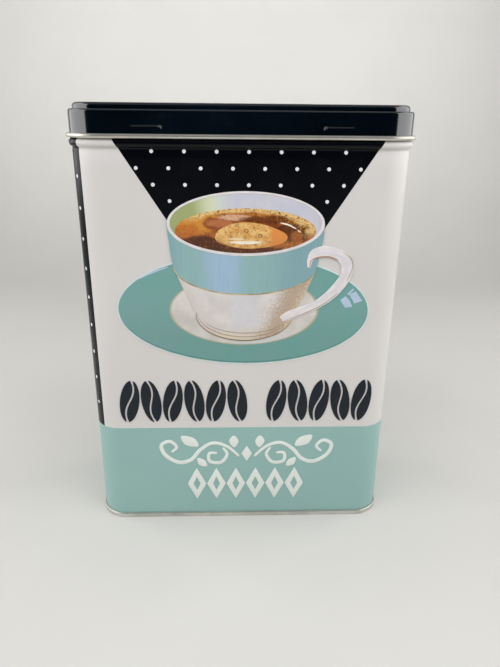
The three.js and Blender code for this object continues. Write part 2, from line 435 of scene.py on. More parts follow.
class Field:
    """A number that varies over a surface, to be calculated with."""

    def __init__(self, tree, socket):
        self.tree = tree
        self.socket = socket

    def math(self, operation, *others):
        node = self.tree.nodes.new("ShaderNodeMath")
        node.operation = operation
        self.tree.links.new(self.socket, node.inputs[0])
        for i, other in enumerate(others, 1):
            if isinstance(other, Field):
                self.tree.links.new(other.socket, node.inputs[i])
            else:
                node.inputs[i].default_value = other
        return Field(self.tree, node.outputs[0])

    def __add__(self, other):
        return self.math("ADD", other)

    def __sub__(self, other):
        return self.math("SUBTRACT", other)

    def __mul__(self, other):
        return self.math("MULTIPLY", other)

    def __truediv__(self, other):
        return self.math("DIVIDE", other)

    def abs(self):
        return self.math("ABSOLUTE")

    def root(self):
        return self.math("SQRT")

    def step(self, low, high):
        """0 at low to 1 at high, with soft ends. low may be above high."""
        node = self.tree.nodes.new("ShaderNodeMapRange")
        node.interpolation_type = "SMOOTHSTEP"
        flipped = low > high
        self.tree.links.new(self.socket, node.inputs["Value"])
        node.inputs["From Min"].default_value = min(low, high)
        node.inputs["From Max"].default_value = max(low, high)
        node.inputs["To Min"].default_value = 1.0 if flipped else 0.0
        node.inputs["To Max"].default_value = 0.0 if flipped else 1.0
        return Field(self.tree, node.outputs["Result"])


class Finish:
    """A node material. x and z are the print's own coordinates in millimetres."""

    def __init__(self, name, roughness=0.35, metallic=0.0, specular=0.35):
        self.material = bpy.data.materials.new(name)
        self.material.use_nodes = True
        self.tree = self.material.node_tree
        self.shader = self.tree.nodes["Principled BSDF"]
        self.shader.inputs["Roughness"].default_value = roughness
        self.shader.inputs["Metallic"].default_value = metallic
        self.shader.inputs["Specular IOR Level"].default_value = specular
        drawn = self.tree.nodes.new("ShaderNodeAttribute")
        drawn.attribute_name = "art"
        self.drawn = drawn.outputs["Vector"]
        parts = self.tree.nodes.new("ShaderNodeSeparateXYZ")
        self.link(self.drawn, parts.inputs[0])
        self.x = Field(self.tree, parts.outputs[0])
        self.z = Field(self.tree, parts.outputs[1])
        where = self.tree.nodes.new("ShaderNodeTexCoord")
        self.where = where.outputs["Object"]

    def link(self, source, target):
        self.tree.links.new(source, target)

    def noise(self, scale, detail=3.0, roughness=0.55, stretch=(1, 1, 1), flat=False):
        """Noise from 0 to 1. scale is in cells per metre in space, or per millimetre when flat."""
        mapping = self.tree.nodes.new("ShaderNodeMapping")
        mapping.inputs["Scale"].default_value = stretch
        self.link(self.drawn if flat else self.where, mapping.inputs["Vector"])
        node = self.tree.nodes.new("ShaderNodeTexNoise")
        node.inputs["Scale"].default_value = scale
        node.inputs["Detail"].default_value = detail
        node.inputs["Roughness"].default_value = roughness
        self.link(mapping.outputs[0], node.inputs["Vector"])
        return Field(self.tree, node.outputs[0])

    def cells(self, scale):
        """Distance to the nearest of many scattered points, scale of them per millimetre."""
        node = self.tree.nodes.new("ShaderNodeTexVoronoi")
        node.inputs["Scale"].default_value = scale
        self.link(self.drawn, node.inputs["Vector"])
        return Field(self.tree, node.outputs["Distance"])

    def oval(self, x, z, rx, rz, wobble=None):
        """Distance from an oval's middle: 1 on its edge."""
        u = (self.x - x) / rx
        v = (self.z - z) / rz
        found = (u * u + v * v).root()
        return found + wobble if wobble else found

    def mix(self, share, first, second):
        """first where share is 0 and second where it is 1: another mix, or a colour.

        A colour is sRGB of 0 to 255, or already linear when it has a fourth number.
        """
        node = self.tree.nodes.new("ShaderNodeMix")
        node.data_type = "RGBA"
        self.link(share.socket, node.inputs["Factor"])
        for socket, colour in ((node.inputs[6], first), (node.inputs[7], second)):
            if isinstance(colour, tuple):
                socket.default_value = linear(*colour) if len(colour) == 3 else colour
            else:
                self.link(colour, socket)
        return node.outputs[2]

    def colour(self, mixed):
        self.link(mixed, self.shader.inputs["Base Color"])

    def rough(self, field):
        self.link(field.socket, self.shader.inputs["Roughness"])

    def bump(self, field, depth_mm, strength):
        node = self.tree.nodes.new("ShaderNodeBump")
        node.inputs["Strength"].default_value = strength
        node.inputs["Distance"].default_value = depth_mm * MM
        self.link(field.socket, node.inputs["Height"])
        self.link(node.outputs[0], self.shader.inputs["Normal"])
        return self


def ink(name, base, deep, roughness=0.32, specular=0.35):
    """Varnished ink: a faint cloud between two shades, fine peel and a few rubbed patches."""
    finish = Finish(name, roughness, specular=specular)
    cloud = finish.noise(14.0, 4.0).step(0.35, 0.7) * 0.5
    scuffed = finish.noise(9.0, 2.0).step(0.5, 0.62)
    marks = finish.noise(300.0, 5.0, 0.75, stretch=(1.0, 1.0, 0.5)).step(0.66, 0.72) * scuffed
    worn = tuple(c * 0.72 + 0.008 for c in linear(*base)[:3]) + (1.0,)
    return varnish(finish, finish.mix(marks * 0.6, finish.mix(cloud, base, deep), worn), roughness)


def varnish(finish, colour, roughness=0.32):
    """The clear coat over a print of this colour: fine peel, a slow wave and rubbed patches."""
    finish.colour(colour)
    rubbed = finish.noise(45.0, 6.0, 0.65).step(0.45, 0.75)
    finish.rough(rubbed * 0.1 + roughness)
    peel = finish.noise(900.0, 2.0)
    wave = finish.noise(22.0, 1.0)
    return finish.bump(peel * 0.1 + wave, 0.12, 0.35)


def bare_tin(name, tone, roughness=0.2, metallic=1.0):
    """Bright tinplate: cloudy roughness and the fine lines of its rolling."""
    finish = Finish(name, roughness, metallic, 0.5)
    cloud = finish.noise(60.0, 4.0).step(0.3, 0.75)
    darker = tuple(c - 26 for c in tone)
    finish.colour(finish.mix(cloud, tone, darker))
    lines = finish.noise(500.0, 3.0, 0.6, stretch=(0.05, 0.05, 1.0))
    finish.rough(cloud * 0.12 + lines * 0.08 + roughness)
    return finish.bump(lines + finish.noise(30.0, 2.0) * 2.0, 0.03, 0.4)


def lid_lacquer():
    finish = Finish("lid_lacquer", 0.13, specular=1.0)
    finish.shader.inputs["IOR"].default_value = 1.6
    cloud = finish.noise(18.0, 4.0).step(0.35, 0.75)
    finish.colour(finish.mix(cloud, (1, 8, 15), (5, 15, 26)))
    handled = finish.noise(70.0, 6.0, 0.7).step(0.5, 0.8)
    finish.rough(handled * 0.1 + 0.12)
    return finish.bump(finish.noise(26.0, 2.0) + finish.noise(700.0, 2.0) * 0.06, 0.1, 0.35)


def saucer_finish():
    finish = Finish("saucer_glaze")
    wash = finish.noise(0.05, 5.0, 0.6, flat=True)
    teal = finish.mix(wash.step(0.35, 0.65), (106, 158, 149), (114, 156, 152))
    grey = (finish.x * -1.0 + finish.z * 0.6 + wash * 30.0).step(105.0, 165.0)
    teal = finish.mix(grey * 0.3, teal, (128, 158, 160))
    grain = finish.noise(0.9, 3.0, 0.7, flat=True).step(0.4, 0.7)
    return varnish(finish, finish.mix(grain * 0.25, teal, (98, 146, 140)))


def well_finish():
    finish = Finish("saucer_well")
    wash = finish.noise(0.08, 5.0, flat=True)
    pale = finish.mix(wash.step(0.35, 0.7), (212, 206, 200), (196, 188, 182))
    cool = (finish.x - 12.0).abs().step(26.0, 6.0) * (finish.z - 134.0).step(2.0, -8.0)
    pale = finish.mix(cool * 0.6, pale, (206, 210, 214))
    edge = finish.oval(1.2, 147.1, 44.0, 22.0, (wash - 0.5) * 0.01)
    return varnish(finish, finish.mix(edge.step(0.955, 0.985), pale, (164, 166, 142)))


def bowl_finish():
    finish = Finish("cup_white")
    wash = finish.noise(0.09, 5.0, flat=True)
    grain = finish.noise(0.8, 3.0, 0.7, flat=True)
    pale = finish.mix(wash.step(0.35, 0.7), (218, 212, 208), (206, 199, 195))
    cool = (finish.x - 7.0 + wash * 10.0).abs().step(13.0, 3.0) * 0.6
    pale = finish.mix(cool, pale, (206, 205, 213))
    low = (finish.z + wash * 8.0).step(143.0, 133.0) * 0.8
    pale = finish.mix(low, pale, (214, 200, 176))
    edge = finish.x + finish.z * -0.48 + wash * 7.0 + (grain - 0.5) * 26.0 + 2.0
    tan = finish.mix(edge.step(-54.0, -40.0), pale, (184, 162, 142))
    tan = finish.mix(edge.step(-38.0, -33.0) * 0.8, tan, (216, 204, 178))
    left = (finish.x * -1.0 + finish.z * -0.48 + wash * 4.0).step(-50.0, -42.0)
    tan = finish.mix(left * 0.35, tan, (190, 178, 168))
    tan = finish.mix(grain.step(0.5, 0.75) * 0.3, tan, (196, 186, 178))
    speckle = finish.noise(1.6, 3.0, 0.7, flat=True).step(0.5, 0.62) * edge.step(-52.0, -36.0)
    return varnish(finish, finish.mix(speckle * 0.5, tan, (150, 122, 98)))


def band_finish():
    finish = Finish("cup_band")
    wash = finish.noise(0.1, 5.0, flat=True)
    streaks = finish.noise(0.5, 3.0, stretch=(1.0, 0.08, 1.0), flat=True)
    teal = finish.mix(wash.step(0.3, 0.7), (138, 176, 174), (142, 174, 176))
    spread = finish.x + wash * 5.0
    light = (spread + 8.5).abs().step(15.5, 4.0)
    teal = finish.mix(light * 0.9, teal, (156, 182, 206))
    right = spread.step(12.0, 34.0) * 0.75
    teal = finish.mix(right, teal, (124, 160, 168))
    left = spread.step(-30.0, -39.0) * 0.7
    teal = finish.mix(left, teal, (120, 162, 168))
    return varnish(finish, finish.mix(streaks.step(0.5, 0.8) * 0.3, teal, (112, 156, 156)))


def inside_finish():
    finish = Finish("cup_inside")
    wash = finish.noise(0.1, 4.0, flat=True)
    pale = finish.mix(wash.step(0.3, 0.7), (200, 196, 204), (188, 190, 202))
    blue = (finish.x + 14.0 + wash * 5.0).abs().step(8.0, 2.0) * 0.6
    pale = finish.mix(blue, pale, (196, 208, 220))
    side = finish.x * -1.0 + finish.z * -0.3 + wash * 9.0
    olive = finish.mix(side.step(-42.0, -28.0), (204, 208, 176), (156, 164, 112))
    return varnish(finish, finish.mix(side.step(-54.0, -38.0), pale, olive))


def coffee_finish():
    finish = Finish("coffee", 0.28, specular=0.4)
    wash = finish.noise(0.14, 6.0, 0.65, flat=True)
    fine = finish.noise(0.7, 4.0, 0.75, flat=True)
    wobble = (wash - 0.5) * 1.3 + (fine - 0.5) * 0.8
    brown = finish.mix(wash.step(0.35, 0.65), (132, 68, 28), (178, 104, 48))
    for x, z, rx, rz, colour, share in (
        (-26.0, 198.5, 13.0, 6.0, (206, 138, 54), 0.9),
        (-31.0, 193.5, 7.0, 4.0, (186, 106, 44), 0.8),
        (-13.0, 197.6, 10.0, 3.4, (132, 68, 38), 0.95),
        (-12.5, 198.0, 7.6, 2.2, (176, 108, 68), 0.95),
        (-4.0, 201.4, 9.0, 1.7, (216, 172, 142), 0.85),
        (-20.0, 186.6, 17.0, 4.2, (78, 36, 14), 1.0),
        (27.0, 193.0, 12.5, 6.2, (88, 40, 18), 1.0),
        (30.5, 190.5, 3.4, 3.6, (158, 84, 34), 0.8),
        (13.0, 200.2, 14.0, 2.2, (96, 46, 20), 0.95),
        (2.0, 182.6, 26.0, 2.0, (70, 32, 14), 0.9),
    ):
        mask = finish.oval(x, z, rx, rz, wobble).step(1.2, 0.8) * share
        brown = finish.mix(mask, brown, colour)
    middle = finish.oval(1.8, 193.6, 39.4, 12.6, (wash - 0.5) * 0.4)
    behind = (finish.z + finish.x * 0.12).step(194.0, 199.0)
    foam = (middle + (fine - 0.5) * 0.35).step(0.8, 0.88) * behind
    froth = finish.mix(fine.step(0.42, 0.62), (226, 196, 136), (198, 142, 66))
    brown = finish.mix(foam, brown, froth)
    splash = fine.step(0.54, 0.6) * middle.step(0.5, 0.8) * (finish.z + finish.x * 0.3).step(186.0, 192.0)
    brown = finish.mix(splash * 0.8, brown, (218, 168, 84))
    specks = finish.cells(0.5).step(0.3, 0.2) * middle.step(0.66, 0.8) * behind
    brown = finish.mix(specks * 0.85, brown, (94, 58, 24))
    brown = finish.mix(fine.step(0.52, 0.62) * 0.4, brown, (92, 46, 20))
    return varnish(finish, finish.mix(fine.step(0.46, 0.36) * 0.35, brown, (196, 122, 52)), 0.28)


def crema_finish():
    finish = Finish("crema")
    wash = finish.noise(0.24, 6.0, 0.7, flat=True)
    fine = finish.noise(0.9, 4.0, 0.75, flat=True)
    tan = finish.mix(wash.step(0.38, 0.62), (226, 184, 118), (200, 144, 74))
    tan = finish.mix(fine.step(0.55, 0.68) * 0.8, tan, (238, 214, 160))
    tan = finish.mix((finish.x + wash * 5.0).step(16.5, 19.5), tan, (216, 138, 70))
    specks = finish.cells(0.6).step(0.28, 0.16) * finish.x.step(18.0, 15.0)
    tan = finish.mix(specks * 0.75, tan, (126, 80, 34))
    edge = finish.oval(5.0, 191.2, 20.8, 7.6)
    under = edge.step(0.9, 1.0) * (finish.z + finish.x * 0.1).step(189.0, 186.0)
    tan = finish.mix(under * 0.8, tan, (142, 84, 38))
    shine = finish.oval(1.6, 187.5, 9.0, 0.9, (wash - 0.5) * 0.5).step(1.3, 0.7)
    tan = finish.mix(shine * 0.85, tan, (246, 236, 216))
    shine = finish.oval(-3.4, 189.4, 4.0, 0.6, (wash - 0.5) * 0.6).step(1.3, 0.7)
    return varnish(finish, finish.mix(shine * 0.6, tan, (240, 226, 196)))


def paint(name, first, second):
    """One painted colour, washed between two shades."""
    finish = Finish(name)
    wash = finish.noise(0.15, 4.0, 0.6, flat=True).step(0.35, 0.65)
    return varnish(finish, finish.mix(wash, first, second))


# ---------------------------------------------------------------- pieces of tinplate


def window(column_s, at_x, half):
    """Whether a column of cells starting at this s lies within half of x on the back."""
    middle = PERIMETER / 2 - at_x
    return middle - half - 0.01 <= column_s < middle + half - 0.01


def hinge_columns(half):
    """The places of s at half on either side of the middle of each hinge tongue."""
    return [PERIMETER / 2 + x + side * half for x in (-HINGE_X, HINGE_X) for side in (-1, 1)]


def body_shell(finish):
    hem_x = NECK_OFFSET - HEM_RADIUS
    line = arc(hem_x, HEM_Z, HEM_RADIUS, 290, 0, 26)
    line += [(NECK_OFFSET, z) for z in (253, WINDOW_TOP, 248, 245.4)]
    line += list(reversed(wall_line(FLANGE_TOP, NECK_FOOT_Z)))
    line += [(FLANGE_REACH, FLANGE_TOP)]
    half = TONGUE_WIDTH / 2
    columns = stations(also=hinge_columns(half))

    def keep(i, j):
        opening = line[i][1] <= WINDOW_TOP + 0.01 and line[i + 1][1] >= NECK_FOOT_Z - 0.01
        return not (opening and any(window(columns[j], x, half) for x in (-HINGE_X, HINGE_X)))

    return sheet("tin_shell", columns, line, SHEET, "tin", finish, keep)


def side_seam(finish):
    """The folded lock seam down the inside of the back wall."""
    at = PERIMETER / 2 - SEAM_X
    for name, half, low, thickness in (("side_seam", 2.5, 0.65, 0.4), ("side_seam_fold", 1.7, 0.9, 0.27)):
        line = [(-low, SEAM_FROM + (SEAM_TO - SEAM_FROM) * i / 20) for i in range(21)]
        sheet(name, [at - half, at, at + half], line, thickness, "tin", finish, ring=False)


def hinge_tongue(side, x, finish):
    """The strip lanced out of the neck, which holds the wire."""
    line = [(NECK_OFFSET - SHEET, CURL_Z - CURL_RADIUS), (0.0, CURL_Z - CURL_RADIUS)]
    line += arc(CURL_X, CURL_Z, CURL_RADIUS - 0.01, -90, 140, 24)
    middle = PERIMETER / 2 - x
    half = TONGUE_WIDTH / 2
    columns = [middle - half + TONGUE_WIDTH * i / 8 for i in range(9)]
    sheet(f"hinge_tongue_{side}", columns, line, -SHEET, "tin", finish, ring=False)


def lid_shell():
    inner = SKIRT_OFFSET - SHEET
    bend = SKIRT_ROUND - SHEET
    under = PLATEAU_OFFSET - SHEET
    line = arc(CURL_X, CURL_Z, CURL_RADIUS - 0.01, 120, -180, 36)
    line += [(inner, 245.0), (inner, NOTCH_TOP)]
    line += [(inner, NOTCH_TOP + 0.25 * i) for i in range(1, 14)]
    line += [(inner, 252.0), (inner, 254.5)]
    line += arc(inner - bend, SKIRT_TOP - SKIRT_ROUND, bend, 0, 90, 8)
    line += [(under + SHEET, SKIRT_TOP - SHEET)]
    line += arc(under + SHEET, SKIRT_TOP, SHEET, -90, -180, 3)[1:]
    top_bend = PLATEAU_ROUND - SHEET
    line += arc(under - top_bend, HEIGHT - PLATEAU_ROUND, top_bend, 0, 90, 9)
    rows = 14
    line += [(-5.0 + (-DEPTH / 2 + 5.0) * i / rows, HEIGHT - SHEET) for i in range(rows + 1)]
    half = TONGUE_WIDTH / 2 + NOTCH_CLEAR
    # The extra columns are at the same x on the front and the back, so that both meet on the middle line
    across = [side * (PIP_X + step * RIB_PITCH) for side in (-1, 1) for step in range(-5, 60)]
    across += [PERIMETER / 2 - s for s in hinge_columns(half)]
    columns = stations(pitch=4.0, also=across + [PERIMETER / 2 - x for x in across])

    def dent(depth, away):
        """A smooth dent: the whole depth where away is 0, and none from 1 on."""
        return depth * (0.5 + 0.5 * math.cos(math.pi * min(away, 1.0)))

    def ribs(s, z):
        along = max(abs(abs(s) - RIB_X) - RIB_LENGTH / 2 + RIB_HEIGHT / 2, 0.0)
        rib = dent(RIB_DEPTH, math.hypot(along, z - RIB_Z) / (RIB_HEIGHT / 2 + 0.2))
        return rib + dent(PIP_DEPTH, math.hypot(abs(s) - PIP_X, z - RIB_Z) / PIP_RADIUS)

    def keep(i, j):
        notch = line[i + 1][1] <= NOTCH_TOP + 0.01
        return not (notch and any(window(columns[j], x, half) for x in (-HINGE_X, HINGE_X)))

    curl = bare_tin("tinplate_curl", (222, 219, 210), 0.27, 0.85)
    finishes = (curl, lid_lacquer(), curl)
    return sheet("lid_shell", columns, line, SHEET, "lid", finishes, keep, panel=True, press=ribs)


def bottom_panel():
    inner = -3 * SHEET
    outer_x = RIM_PROUD - RIM_ROUND
    line = [(SHEET + 0.05, RIM_HEIGHT)]
    line += arc(outer_x, RIM_HEIGHT - RIM_ROUND, RIM_ROUND, 90, 0, 6)
    line += arc(outer_x, RIM_ROUND, RIM_ROUND, 0, -90, 6)
    line += arc(inner + RIM_ROUND, RIM_ROUND, RIM_ROUND, -90, -180, 6)
    line += arc(inner - RECESS_ROUND, PANEL_RECESS - RECESS_ROUND, RECESS_ROUND, 0, 90, 5)
    rows = 12
    line += [(-3.0 + (-DEPTH / 2 + 3.0) * i / rows, PANEL_RECESS) for i in range(rows + 1)]
    finish = bare_tin("tinplate_bottom", (216, 216, 208), 0.22, 0.8)
    return sheet("tin_bottom", stations(), line, SHEET, "tin", finish, panel=True)


# ---------------------------------------------------------------- print round the wall


def field(name, start, end, low, high, finish):
    """A field of ink on the wall between two places of s and two heights."""
    turns = (-PERIMETER, 0.0, PERIMETER)
    between = [s + turn for turn in turns for s in stations() if start < s + turn < end]
    columns = [start] + [s for s in between if s - start > 0.3 and end - s > 0.3] + [end]
    line = [(offset + INK, z) for offset, z in wall_line(low, high)]
    sheet(name, columns, line, INK * 0.8, "tin", finish, ring=False)


# ---------------------------------------------------------------- stage, light and camera


def paper():
    finish = Finish("paper", 0.9, specular=0.2)
    colour = (203, 201, 196)
    shade = tuple(c * 0.97 for c in linear(*colour)[:3]) + (1.0,)
    finish.colour(finish.mix(finish.noise(6.0, 3.0).step(0.3, 0.7), colour, shade))
    return finish


def stage():
    """A pale floor that curves up into a backdrop, in metres."""
    front, bend_from, bend, top, half_width = -1.6, 0.5, 0.5, 2.2, 1.6
    line = [(front, 0.0), (bend_from, 0.0)]
    line += arc(bend_from, bend, bend, -90, 0, 18)[1:]
    line += [(bend_from + bend, top)]
    mesh = bpy.data.meshes.new("backdrop")
    points = [(x, y, z) for y, z in line for x in (-half_width, half_width)]
    faces = [(2 * i, 2 * i + 1, 2 * i + 3, 2 * i + 2) for i in range(len(line) - 1)]
    mesh.from_pydata(points, [], faces)
    mesh.polygons.foreach_set("use_smooth", [True] * len(faces))
    mesh.materials.append(paper().material)
    backdrop = bpy.data.objects.new("backdrop", mesh)
    bpy.context.scene.collection.objects.link(backdrop)


def area_light(name, place_m, aim_m, size, power):
    light = bpy.data.lights.new(name, "AREA")
    light.shape = "RECTANGLE"
    light.size, light.size_y = size
    light.energy = power
    lamp = bpy.data.objects.new(name, light)
    lamp.location = place_m
    lamp.rotation_euler = (Vector(aim_m) - Vector(place_m)).to_track_quat("-Z", "Y").to_euler()
    bpy.context.scene.collection.objects.link(lamp)
    return lamp


def lights():
    world = bpy.data.worlds.new("studio")
    bpy.context.scene.world = world
    world.use_nodes = True
    world.node_tree.nodes["Background"].inputs["Color"].default_value = (0.92, 0.95, 1.0, 1.0)
    world.node_tree.nodes["Background"].inputs["Strength"].default_value = 0.36
    world.cycles_visibility.glossy = False  # the studio behind the camera doesn't show in the lacquer
    for side, x in (("left", -0.62), ("right", 0.62)):
        area_light(f"{side}_panel", (x, -0.1, 0.52), (0.0, -0.1, 0.52), (0.96, 0.75), 4.8)
    area_light("front_box", (0.0, -0.55, 0.95), (0.0, 0.0, 0.1), (1.3, 0.6), 6.2).visible_glossy = False
    wash = area_light("backdrop_box", (0.0, -0.2, 1.3), (0.0, 1.0, 0.5), (1.8, 0.3), 2.9)
    wash.data.spread = math.radians(56.0)
    wash.visible_glossy = False
    area_light("ceiling", (0.0, 0.0, 1.1), (0.0, 0.01, 0.0), (1.5, 1.5), 1.8).visible_diffuse = False


def camera():
    lens = bpy.data.cameras.new("camera")
    lens.sensor_width = 36.0
    lens.lens = 30.76
    lens.clip_start = 0.01
    view = bpy.data.objects.new("camera", lens)
    pitch, yaw, roll = 0.3712, 0.0361, 0.0105
    forward = Vector((math.sin(yaw), math.cos(yaw), 0.0))
    right = Vector((math.cos(yaw), -math.sin(yaw), 0.0))
    up = Vector((0.0, 0.0, 1.0))
    look = forward * math.cos(pitch) - up * math.sin(pitch)
    above = up * math.cos(pitch) + forward * math.sin(pitch)
    across = right * math.cos(roll) + above * math.sin(roll)
    above = above * math.cos(roll) - right * math.sin(roll)
    turn = Matrix((across, above, -look)).transposed()
    view.matrix_world = Matrix.Translation((-0.00673, -0.35499, 0.25598)) @ turn.to_4x4()
    bpy.context.scene.collection.objects.link(view)
    bpy.context.scene.camera = view


# ---------------------------------------------------------------- the artwork on the front and back

CUP_X, CUP_RIM_Z, RIM_RX, RIM_RZ = 1.9, 197.6, 44.0, 18.0
ROOT = -0.2  # where raised shapes start, within the sheet of the wall
SAUCER_PROUD, CUP_PROUD = 0.3, 0.6  # how far their faces stand above the wall
HANDLE_PROUD = 0.3  # how far the handle stands above the cup's face
ON_HANDLE = HANDLE_PROUD + INK


def wedge(face, finish, dot_finish):
    """The black wedge that hangs from the top edge, over the bead and the groove."""
    top, half_top, slope, centre = 241.7, 72.2, 0.637, 3.4
    start = FACES[face]
    line = [(offset + 2 * INK, z) for offset, z in wall_line(190.0, PRINT_TOP, 4.0)]
    rows = []
    for _, z in line:
        half = half_top - slope * (top - z)
        rows.append([start + centre + half * (2 * k / 24 - 1) for k in range(25)])
    sheet(f"wedge_{face}", rows, line, INK * 0.8, "tin", finish, ring=False)
    centres = []
    for row in range(6):
        z = 236.0 - row * PITCH / 2
        shift = 0.0 if row % 2 == 0 else PITCH / 2
        for k in range(-6, 7):
            x = 3.3 + shift + k * PITCH
            on_black = abs(x - centre) < half_top - slope * (top - z) - 1.5
            over_cup = math.hypot((x - CUP_X) / (RIM_RX + 2), (z - CUP_RIM_Z) / (RIM_RZ + 2)) < 1
            if on_black and not over_cup:
                centres.append((start + x, z))
    dots(f"wedge_dots_{face}", centres, dot_finish)


def cup_outline():
    """The cup's silhouette: the far side of the rim, both walls and the front of the foot."""
    right = smooth([(46.0, 196.0), (45.1, 185.5), (40.8, 167.5), (34.4, 152.2), (30.2, 143.0)], 8)
    left = smooth([(-27.0, 143.0), (-30.6, 152.4), (-37.4, 168.4), (-41.2, 185.5), (-42.1, 196.0)], 8)
    foot = ellipse(CUP_X - 0.3, 143.0, 28.5, 15.1, 0, -180, 40)[1:]
    rim = ellipse(CUP_X, CUP_RIM_Z, RIM_RX, RIM_RZ, 180, 0, 48)[1:]
    return right + foot + left + rim


GOLD_LINE = ellipse(CUP_X, 174.2, 41.3, 17.4, 182, 349, 48)


def band_outline():
    """The teal band round the cup, from below the rim to its gold line."""
    top = ellipse(CUP_X, CUP_RIM_Z, RIM_RX + 0.1, RIM_RZ, 176, 364, 48)
    right = smooth([(45.4, 188.0), (44.2, 181.0), GOLD_LINE[-1]], 4)[:-1]
    left = smooth([GOLD_LINE[0], (-40.4, 180.0), (-41.8, 192.0)], 4)
    return top + right + GOLD_LINE[:0:-1] + left


# The handle's middle line and its width
HANDLE = [(38.2, 173.0, 1.9), (38.4, 177.0, 3.2), (40.8, 180.9, 5.4), (45.8, 182.4, 6.1), (51.3, 181.8, 5.7),
          (56.7, 179.4, 6.3), (60.0, 174.6, 7.1), (59.7, 168.4, 6.4), (55.8, 161.6, 6.5), (50.0, 155.3, 6.0),
          (42.4, 149.7, 4.9), (35.0, 146.7, 5.4), (28.0, 144.1, 5.6), (23.0, 141.7, 3.5)]

# Painted lines: name, points, width, taper, finish and how far above the cup's face
LINES = [
    ("handle_shade", smooth([(41.6, 180.8), (50.5, 181.6), (58.9, 177.1), (59.0, 168.5), (54.3, 160.6),
                             (45.8, 153.4), (34.1, 147.6)]), 1.7, 0.7, "lilac", ON_HANDLE),
    ("handle_inner_line", smooth([(38.7, 173.4), (39.0, 176.9), (42.5, 178.9), (49.2, 179.5),
                                  (54.7, 177.5)]), 0.55, 0.5, "sienna", ON_HANDLE),
    ("handle_outer_line", smooth([(57.0, 182.3), (62.0, 178.2), (63.2, 172.6), (60.4, 164.8)]), 0.45, 0.7,
     "tan", ON_HANDLE),
    ("handle_low_line", smooth([(55.6, 157.8), (47.6, 151.0), (36.3, 145.1), (26.0, 141.3)]), 0.45, 0.7,
     "tan", ON_HANDLE),
    ("gold_line", GOLD_LINE, 0.75, 0.4, "gold", 0.05),
    ("foot_line", ellipse(1.4, 144.5, 28.4, 16.4, 175, 349, 60), 0.7, 0.8, "umber", 0.05),
    ("foot_line_inner", ellipse(1.6, 146.0, 28.0, 15.6, 180, 330, 60), 0.5, 0.8, "tan", 0.05),
    ("foot_line_top", ellipse(2.0, 144.4, 26.0, 11.6, 205, 335, 60), 0.5, 0.8, "tan", 0.05),
    ("coffee_glint", smooth([(21.0, 198.5), (25.6, 197.4), (30.0, 195.2)]), 0.9, 0.8, "glint", 0.2),
    ("coffee_glint_small", smooth([(30.8, 194.4), (32.6, 193.3)]), 0.7, 0.5, "glint", 0.2),
    ("crema_glint", smooth([(-7.0, 188.1), (-2.1, 187.0), (4.6, 186.8), (9.6, 187.5)]), 0.8, 0.9,
     "glint", 0.26),
]
# Bubbles in the crema: x, z and radius
BUBBLES = [(2.1, 194.0, 1.25), (9.9, 191.3, 1.3), (-3.7, 197.0, 0.7), (-6.4, 190.7, 0.8), (1.2, 190.2, 0.6),
           (6.4, 195.6, 0.7), (-9.4, 193.2, 0.6), (13.2, 194.0, 0.6)]


def bean(x, z, rx, rz, lean):
    """A coffee bean: an oval split by an S-shaped crease, as two loops."""
    steps = 20
    turns = [2 * math.pi * k / steps for k in range(steps + 1)]
    crease = [(rx * 0.28 * math.sin(a), rz * (1 - a / math.pi)) for a in turns]
    gap = 0.09 * rx

    def half(sign):
        rim = ellipse(0.0, 0.0, rx, rz, 90.0, 90.0 - sign * 180.0, 24)[1:]
        split = [(u + sign * gap, v) for u, v in reversed(crease)][2:-2]
        return moved(rim + split, x, z, lean)

    return [half(1), half(-1)]


def beans():
    """A row of beans in two groups, six and five, across the front."""
    loops = []
    left, right, z = -76.5, 82.0, 87.0
    step = (right - left - 11.0) / 11
    for k in range(11):
        x = left + step * (k + 0.5) + (11.0 if k >= 6 else 0.0)
        loops += bean(x, z, step * 0.45, 14.6, 8.0 if k % 2 else -8.0)
    return loops


def flourish():
    """Two mirrored sprays of scrolls and leaves beside a small diamond."""
    loops = []
    centre, z = 3.4, 48.6
    for side in (1, -1):
        def at(points):
            return [(centre + side * x, z + v) for x, v in points]

        main = smooth([(5, -2), (13, 5.5), (22, 8.0), (30, 3.0), (36, -4.2), (44, -6.4), (52.5, -1),
                       (55, 6.5), (49.5, 9.5), (45.3, 5.2), (48.6, 1.4)], 8)
        loops.append(stroke(at(main), 2.6, 0.5))
        curl = smooth([(15.4, 4.4), (12.8, -0.6), (16.8, -6.6), (24, -5.8), (24.2, 0.2), (19.2, 0.4)], 8)
        loops.append(stroke(at(curl), 2.3, 0.5))
        for leaf in ([(31.4, 5.6), (33.8, 11.6), (42, 13.4), (39.6, 7.0)],
                     [(32.0, -3.4), (31.0, -8.4), (26.0, -9.6), (27.2, -5.2)],
                     [(8.2, 4.6), (5.4, 9.2), (8.4, 13.4), (11.4, 9.4)]):
            loops.append(at(smooth(leaf, 6, closed=True)))
    loops.append([(centre, z - 5.8), (centre + 3.4, z), (centre, z + 5.8), (centre - 3.4, z)])
    return loops


def lozenges():
    """Six open diamonds in a row."""
    loops = []
    left, right, z = -35.8, 41.4, 25.6
    step = (right - left) / 6
    for k in range(6):
        x = left + step * (k + 0.5)
        for rx, rz in ((6.2, 12.2), (2.3, 5.2)):
            loops.append([(x + rx, z), (x, z + rz), (x - rx, z), (x, z - rz)])
    return loops


